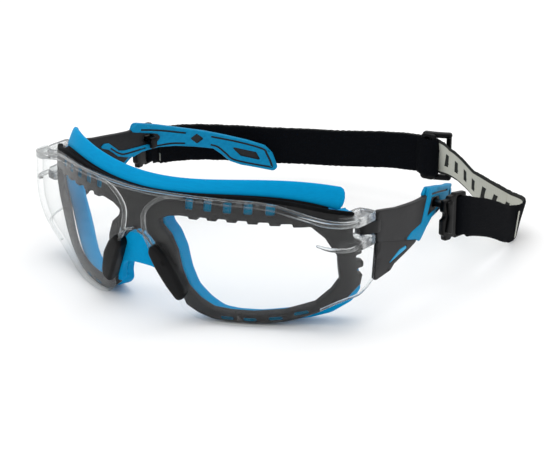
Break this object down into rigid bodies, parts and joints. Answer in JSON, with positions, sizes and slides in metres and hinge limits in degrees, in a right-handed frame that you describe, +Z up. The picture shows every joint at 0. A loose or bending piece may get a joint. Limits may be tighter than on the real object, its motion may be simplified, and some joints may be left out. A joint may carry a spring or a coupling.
{
  "type": "safety goggles",
  "caption": "Wraparound safety goggles with a clear one-piece lens, vented gasket, soft blue face seal, folding temples and an adjustable elastic head strap.",
  "frame": {"origin": "on the surface the goggles rest on, in their plane of symmetry, below the foremost point of the lens", "axes": "+X to the wearer's left, +Y from the lens back towards the wearer, +Z up"},
  "size_m": [0.1482, 0.1611, 0.0517],
  "materials": {
    "clear_lens": "polished clear polycarbonate",
    "gasket": "satin moulded dark grey",
    "soft_blue": "silky soft-touch thermoplastic rubber",
    "nose_rubber": "satin black rubber",
    "pin_steel": "turned steel",
    "temple_plastic": "fine matte texture, dark grey",
    "grip_blue": "satin over-moulded rubber",
    "clip_plastic": "glossy black",
    "webbing": "woven elastic, black face and ivory back",
    "slider_plastic": "satin black"
  },
  "bodies": {
    "front": {"lens": "clear_lens", "gasket_frame": "gasket", "face_seal": "soft_blue", "brow_flange": "soft_blue", "nose_pad_left": "nose_rubber", "nose_pad_right": "nose_rubber", "hinge_pin_left": "pin_steel", "hinge_pin_right": "pin_steel", "strap_left_run": "webbing", "strap_corner": "webbing", "strap_back": "webbing", "strap_right_run": "webbing", "strap_return_back": "webbing", "strap_return_run": "webbing"},
    "temple_left": {"temple_core_left": "temple_plastic", "side_shield_left": "temple_plastic", "shield_inlay_left": "grip_blue", "temple_grip_left": "grip_blue", "strap_clip_left": "clip_plastic"},
    "temple_right": {"temple_core_right": "temple_plastic", "side_shield_right": "temple_plastic", "shield_inlay_right": "grip_blue", "temple_grip_right": "grip_blue", "strap_clip_right": "clip_plastic"},
    "slider": {"strap_slider": "slider_plastic"}
  },
  "joints": [
    {"name": "temple_left_fold", "type": "hinge", "parent": "front", "child": "temple_left", "pos_m": [0.0655, 0.041, 0.035], "axis": [0, 0, 1], "range_deg": [0, 80], "deforming": ["strap_left_run"]},
    {"name": "temple_right_fold", "type": "hinge", "parent": "front", "child": "temple_right", "pos_m": [-0.0655, 0.041, 0.035], "axis": [0, 0, -1], "range_deg": [0, 60], "deforming": ["strap_right_run", "strap_return_run"]},
    {"name": "slider_slide", "type": "slide", "parent": "front", "child": "slider", "axis": [-0.9937, -0.1, -0.05], "range_m": [0, 0.012], "deforming": ["strap_return_back"]}
  ]
}
